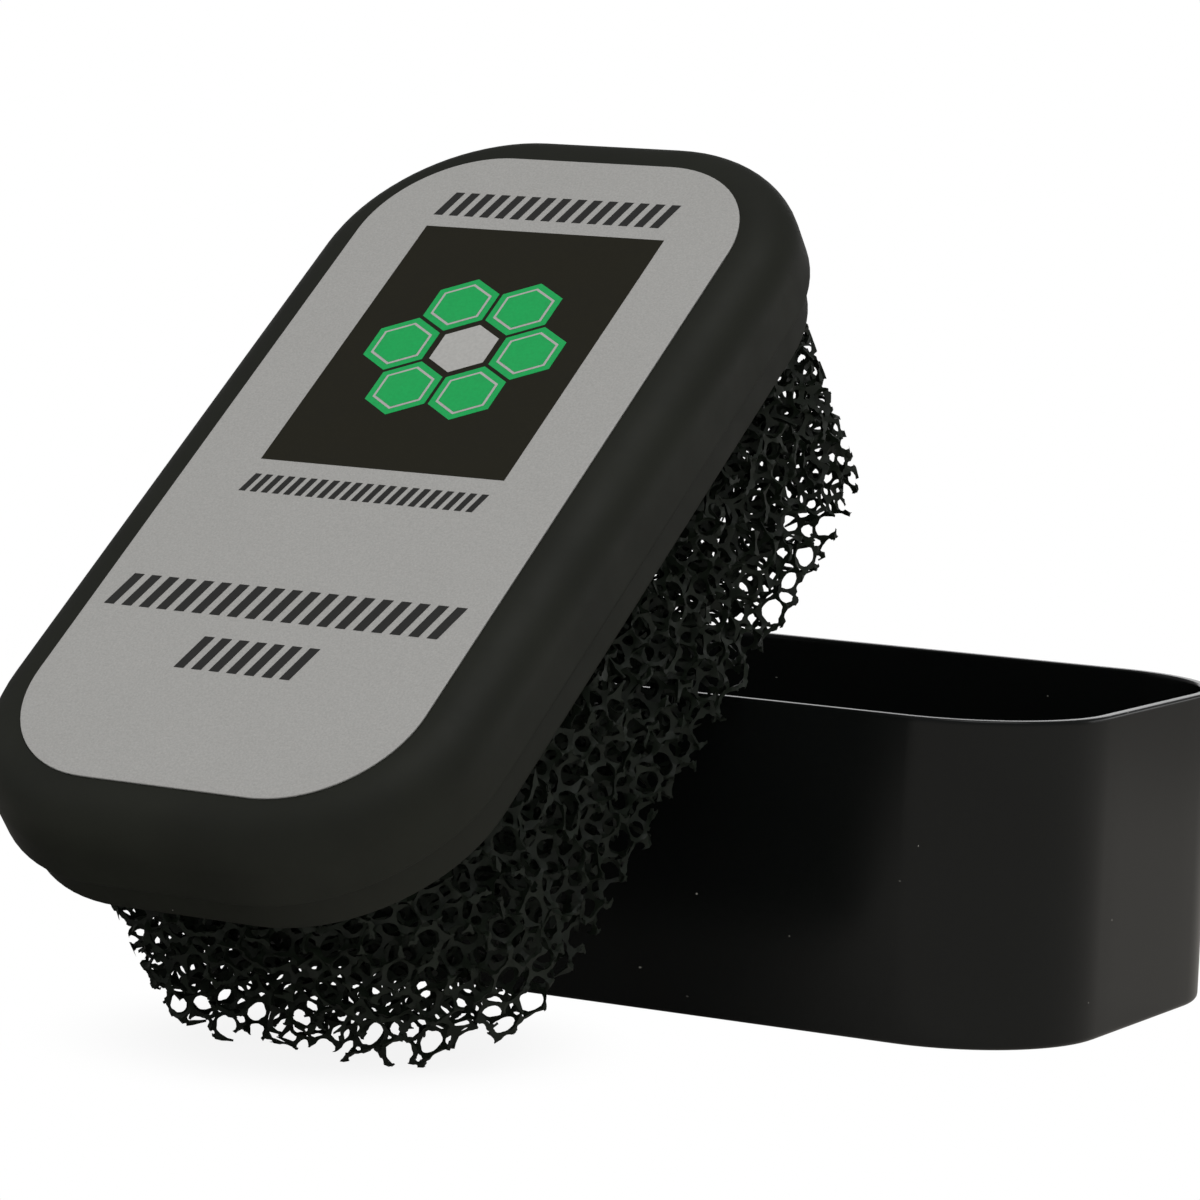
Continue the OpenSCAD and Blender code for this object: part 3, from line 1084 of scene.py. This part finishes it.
class SUEDE_OT_label(bpy.types.Operator):
    """Builds the label and its print: a dark panel, a badge of cells and rows of strokes"""
    bl_idname = "suede.label"
    bl_label = "Label"

    def execute(self, context):
        m = moulding()
        p = label_settings()
        case_l, case_w, _ = case_size()
        length = case_l - 2 * (m.handle_edge_r + p.end_margin)
        width = case_w - 2 * (m.handle_edge_r + p.side_margin)
        radius = m.handle_corner_r - m.handle_edge_r - p.corner_ease
        shoulder = p.thickness - LABEL_EDGE_R
        section = [(HOLD, 0), (0, 0), (0, shoulder)]
        section += arc(LABEL_EDGE_R, shoulder, LABEL_EDGE_R, 180, 90, 3)[1:]
        section += [(HOLD, p.thickness)]
        mesh = swept_mesh("label_film", length, width, radius, section)
        film = new_object("label_film", mesh, leaning())
        mesh.materials.append(label_film())
        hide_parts("label")
        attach(film, "brush")
        for piece in (self.panel(p), self.badge(p), self.strokes(p)):
            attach(piece, "brush")
        return {"FINISHED"}

    def inked(self, name, outlines, level, material):
        """Flat shapes of ink, one layer thick, from outlines in the label's axes."""
        p = label_settings()
        base = p.thickness + level * p.ink_t
        heights = (base - 0.5 * p.ink_t, base + p.ink_t)
        shells = [[[(x, y, z) for x, y in outline] for z in heights] for outline in outlines]
        mesh = closed_mesh(name, shells, smooth=False)
        mesh.materials.append(material)
        return mesh

    def panel(self, p):
        """The dark panel."""
        x, y = p.panel_l / 2, p.panel_w / 2
        outline = [(p.panel_x + sx * x, sy * y) for sx, sy in ((-1, -1), (1, -1), (1, 1), (-1, 1))]
        ink = printing_ink("panel_ink", p.panel_colour)
        return new_object("label_panel", self.inked("label_panel", [outline], 0, ink), leaning())

    def badge(self, p):
        """A honeycomb of six green cells round a bare one, each with a thin line inside."""
        pitch = p.cell_r * math.sqrt(3) * CELL_SPACING
        places = six_round(p.panel_x, 0, pitch, start=30)
        green = printing_ink("badge_ink", p.badge_colour)
        grey = printing_ink("line_ink", p.film_colour)
        layers = [self.inked(name, [six_round(x, y, p.cell_r * share) for x, y in places], level, ink)
                  for name, share, level, ink in (("cells", 1, 1, green), ("lines", CELL_LINE, 2, grey),
                                                  ("hearts", CELL_HEART, 3, green))]
        bare = six_round(p.panel_x, 0, p.cell_r * CELL_BARE)
        return self.joined("label_badge", layers + [self.inked("middle", [bare], 1, grey)])

    def joined(self, name, layers):
        """One piece from several meshes in the label's axes."""
        objects = [new_object(f"{name}_{i}", mesh) for i, mesh in enumerate(layers)]
        with bpy.context.temp_override(active_object=objects[0], object=objects[0],
                                       selected_editable_objects=objects,
                                       selected_objects=objects):
            bpy.ops.object.join()
        piece = objects[0]
        piece.name = name
        piece.data.transform(leaning())
        return piece

    def strokes(self, p):
        """Rows of slanted strokes, like bristle marks, across the bare film."""
        ink = printing_ink("stroke_ink", p.stroke_colour)
        tree = self.row_tree()
        rows = []
        for place, height, width, number in STROKE_ROWS:
            pitch = width / number
            slant = STROKE_SLANT * height
            thick = STROKE_THICKNESS * pitch
            low, high = place - height / 2, place + height / 2
            left, right = width / 2 + slant / 2, width / 2 - slant / 2
            outline = [(low, left - thick), (low, left), (high, right), (high, right - thick)]
            mark = new_object("stroke", self.inked("stroke", [outline], 0, ink))
            rows.append(grown(mark, tree, {"Count": number, "Pitch": (0.0, -pitch, 0.0), "Ink": ink}))
        return self.joined("label_strokes", rows)

    def row_tree(self):
        """Geometry nodes: repeats the given mark in a straight row."""
        tree, given = geometry_tree("printed_row", {
            "Mark": "Geometry", "Count": "Int", "Pitch": "Vector", "Ink": "Material"})
        line = add_node(tree, "GeometryNodeMeshLine", {
            "Count": given["Count"], "Offset": given["Pitch"]})
        copies = add_node(tree, "GeometryNodeInstanceOnPoints", {
            "Points": line.outputs[0], "Instance": given["Mark"]})
        end_tree(tree, copies.outputs[0], given["Ink"])
        return tree


class SUEDE_OT_glue(bpy.types.Operator):
    """Gives the glue between the handle and the foam its finish"""
    bl_idname = "suede.glue"
    bl_label = "Glue"

    def execute(self, context):
        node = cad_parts["glue_layer"]
        node.data.materials.clear()
        node.data.materials.append(dried_glue())
        return {"FINISHED"}


class SUEDE_OT_foam(bpy.types.Operator):
    """Builds the open-cell foam block, strut by strut"""
    bl_idname = "suede.foam"
    bl_label = "Foam"

    def execute(self, context):
        mesh = reticulated_foam("foam_struts")
        foam = new_object("foam_struts", mesh, leaning())
        mesh.materials.append(foam_plastic())
        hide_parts("foam_block")
        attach(foam, "brush")
        return {"FINISHED"}


# Radius of a grain of dust, mm, and its least and greatest scale along, across and up
GRAIN_R = 0.06
GRAIN_LEAST = (0.4, 0.4, 0.25)
GRAIN_MOST = (2.2, 1.3, 0.6)
# Dust on each moulding: the shell, the dust's name, its body and slot, and its random seed
DUSTED = (("case_shell", "case_lint", "case", "case_plastic", 3),
          ("handle_shell", "handle_lint", "brush", "handle_plastic", 8))


class SUEDE_OT_lint(bpy.types.Operator):
    """Scatters a few specks of dust over the two mouldings"""
    bl_idname = "suede.lint"
    bl_label = "Lint"

    def execute(self, context):
        tree = self.scatter_tree()
        lint = lint_fibre()
        # The setting counts the specks on a hundredth of a square metre
        density = stage_settings().dust * 100
        for shell, name, body, slot, seed in DUSTED:
            carrier = new_object("carrier", bpy.data.objects[shell].data.copy())
            mesh = grown(carrier, tree, {
                "Density": density, "Size": GRAIN_R * MM, "Seed": seed, "Dust": lint})
            dust = new_object(name, mesh)
            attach(dust, body)
        return {"FINISHED"}

    def scatter_tree(self):
        """Geometry nodes: small flat grains of several sizes, lying on a surface."""
        tree, given = geometry_tree("scattered_dust", {
            "Surface": "Geometry", "Density": "Float", "Size": "Float", "Seed": "Int",
            "Dust": "Material"})
        places = add_node(tree, "GeometryNodeDistributePointsOnFaces", {
            "Mesh": given["Surface"], "Density": given["Density"], "Seed": given["Seed"]})
        grain = add_node(tree, "GeometryNodeMeshIcoSphere", {
            "Radius": given["Size"], "Subdivisions": 2})
        shape = add_node(tree, "FunctionNodeRandomValue", {
            0: GRAIN_LEAST, 1: GRAIN_MOST, "Seed": given["Seed"]}, data_type="FLOAT_VECTOR")
        copies = add_node(tree, "GeometryNodeInstanceOnPoints", {
            "Points": places.outputs["Points"], "Instance": grain.outputs["Mesh"],
            "Rotation": places.outputs["Rotation"], "Scale": shape.outputs[0]})
        end_tree(tree, copies.outputs[0], given["Dust"])
        return tree


class SUEDE_PT_panel(bpy.types.Panel):
    """Lists the pieces of the brush"""
    bl_label = "Suede Brush"
    bl_idname = "SUEDE_PT_panel"
    bl_space_type = "VIEW_3D"
    bl_region_type = "UI"
    bl_category = "Suede Brush"

    def draw(self, context):
        for operator in OPERATORS:
            self.layout.operator(operator.bl_idname)
        for settings in (moulding(), label_settings(), foam_settings(), stage_settings()):
            box = self.layout.box()
            for name in settings.bl_rna.properties.keys():
                if name not in ("rna_type", "name"):
                    box.prop(settings, name)


SETTINGS = {
    "suede_moulding": MouldingSettings,
    "suede_label": LabelSettings,
    "suede_foam": FoamSettings,
    "suede_stage": StageSettings,
}
OPERATORS = (SUEDE_OT_stage, SUEDE_OT_case, SUEDE_OT_handle, SUEDE_OT_label, SUEDE_OT_glue,
             SUEDE_OT_foam, SUEDE_OT_lint)


def register():
    for name, settings in SETTINGS.items():
        bpy.utils.register_class(settings)
        setattr(bpy.types.Scene, name, bpy.props.PointerProperty(type=settings))
    for operator in OPERATORS:
        bpy.utils.register_class(operator)
    bpy.utils.register_class(SUEDE_PT_panel)


def unregister():
    bpy.utils.unregister_class(SUEDE_PT_panel)
    for operator in reversed(OPERATORS):
        bpy.utils.unregister_class(operator)
    for name, settings in SETTINGS.items():
        delattr(bpy.types.Scene, name)
        bpy.utils.unregister_class(settings)


def main():
    register()
    bpy.ops.suede.stage()
    bpy.ops.suede.case()
    bpy.ops.suede.handle()
    bpy.ops.suede.label()
    bpy.ops.suede.glue()
    bpy.ops.suede.foam()
    bpy.ops.suede.lint()


if __name__ == "__main__":
    main()
